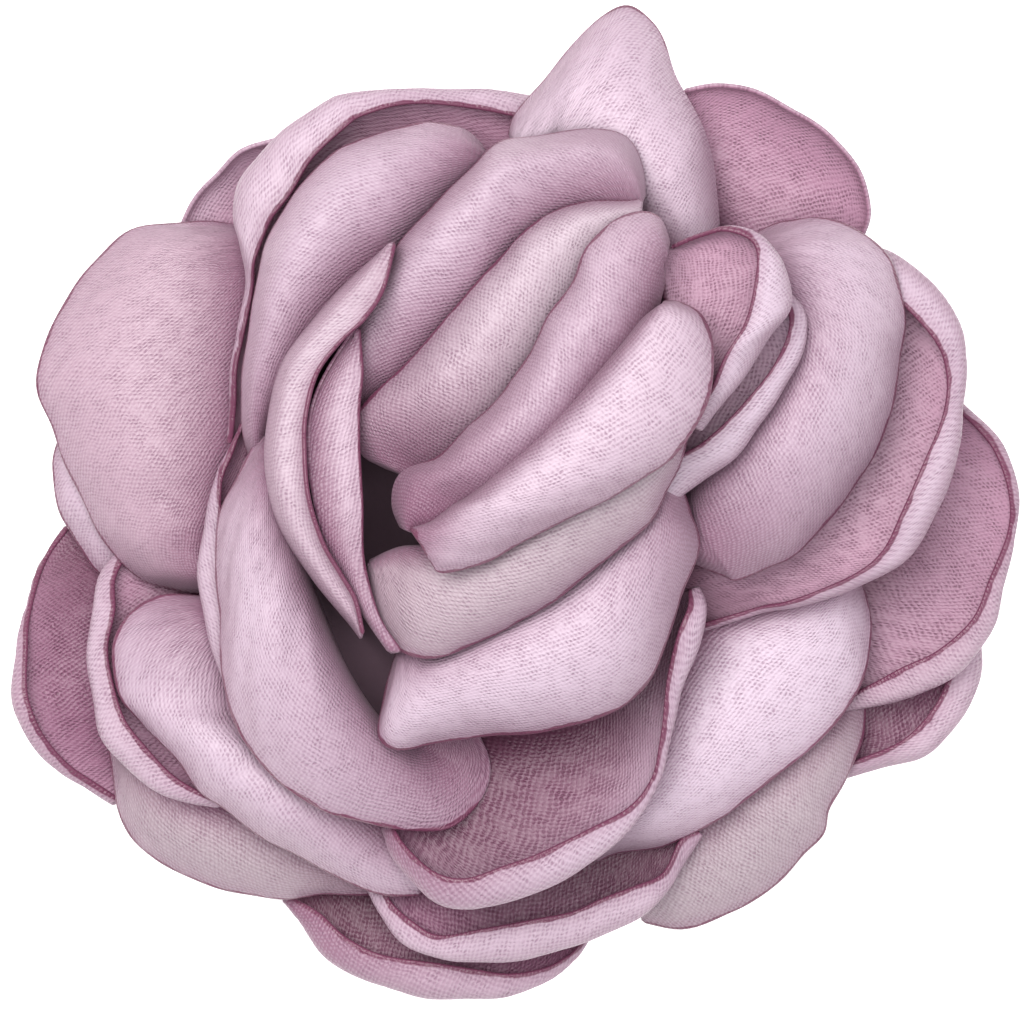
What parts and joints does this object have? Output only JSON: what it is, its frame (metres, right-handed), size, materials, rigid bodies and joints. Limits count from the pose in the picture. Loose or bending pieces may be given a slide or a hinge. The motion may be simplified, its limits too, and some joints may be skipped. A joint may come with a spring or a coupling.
{
  "type": "flower brooch",
  "caption": "Round fabric flower brooch of curled satin petals with singed edges, on a felt disc with a brooch pin behind.",
  "frame": {"origin": "centre of the bounding box's bottom: under the middle of the flower, on the surface that the pin's back rests on", "axes": "+Z out of the flower's face, +Y up the face as worn, +X to the right as seen from the front"},
  "size_m": [0.0758, 0.0746, 0.033],
  "materials": {
    "satin": "satin",
    "felt": "matte",
    "pin_metal": "satin"
  },
  "bodies": {
    "root": {"petal_heart_front": "satin", "petal_heart_back": "satin", "petal_heart_left": "satin", "petal_inner_front": "satin", "petal_inner_back": "satin", "petal_inner_left": "satin", "petal_inner_right": "satin", "petal_second_front": "satin", "petal_second_back": "satin", "petal_second_right": "satin", "petal_third_left": "satin", "petal_third_right": "satin", "petal_third_back": "satin", "petal_fourth_left": "satin", "petal_fourth_front": "satin", "petal_fourth_right": "satin", "petal_fifth_left": "satin", "petal_fifth_top": "satin", "petal_fifth_front_left": "satin", "petal_fifth_front_right": "satin", "petal_sixth_back": "satin", "petal_sixth_left": "satin", "petal_sixth_front": "satin", "petal_sixth_right": "satin", "petal_sixth_top_right": "satin", "petal_seventh_back": "satin", "petal_seventh_left": "satin", "petal_seventh_front_left": "satin", "petal_seventh_front_right": "satin", "petal_last_left": "satin", "petal_last_front": "satin", "petal_last_right": "satin", "backing_disc": "felt", "brooch_pin": "pin_metal"}
  },
  "joints": []
}
